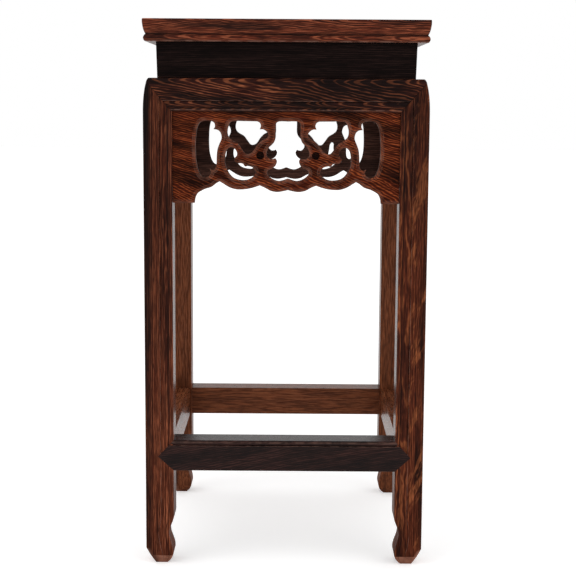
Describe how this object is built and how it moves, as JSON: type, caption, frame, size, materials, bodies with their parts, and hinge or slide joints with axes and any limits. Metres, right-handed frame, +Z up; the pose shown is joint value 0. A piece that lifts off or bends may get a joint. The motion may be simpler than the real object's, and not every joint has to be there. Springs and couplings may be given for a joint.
{
  "type": "display pedestal",
  "caption": "Small square hardwood display stand: framed top on a recessed waist, moulded rails, pierced dragon aprons, shaped legs and low stretchers.",
  "frame": {"origin": "on the surface that the stand stands on, under the middle of the stand", "axes": "+Z up, -Y towards the front side that the picture shows, +X to its right"},
  "size_m": [0.15, 0.15, 0.2926],
  "materials": {
    "top": "satin oiled and waxed hardwood",
    "waist": "satin oiled and waxed hardwood",
    "rail": "satin oiled and waxed hardwood",
    "apron": "satin oiled and waxed hardwood",
    "leg": "satin oiled and waxed hardwood",
    "stretcher": "satin oiled and waxed hardwood",
    "inside": "satin oiled and waxed hardwood"
  },
  "bodies": {
    "root": {"top_frame_front": "top", "waist_front": "waist", "rail_front": "rail", "apron_front": "apron", "stretcher_front": "stretcher", "top_frame_right": "top", "waist_right": "waist", "rail_right": "rail", "apron_right": "apron", "stretcher_right": "stretcher", "top_frame_back": "top", "waist_back": "waist", "rail_back": "rail", "apron_back": "apron", "stretcher_back": "stretcher", "top_frame_left": "top", "waist_left": "waist", "rail_left": "rail", "apron_left": "apron", "stretcher_left": "stretcher", "leg_front_left": "leg", "leg_front_right": "leg", "leg_back_right": "leg", "leg_back_left": "leg", "top_panel": "top", "top_batten": "inside"}
  },
  "joints": []
}
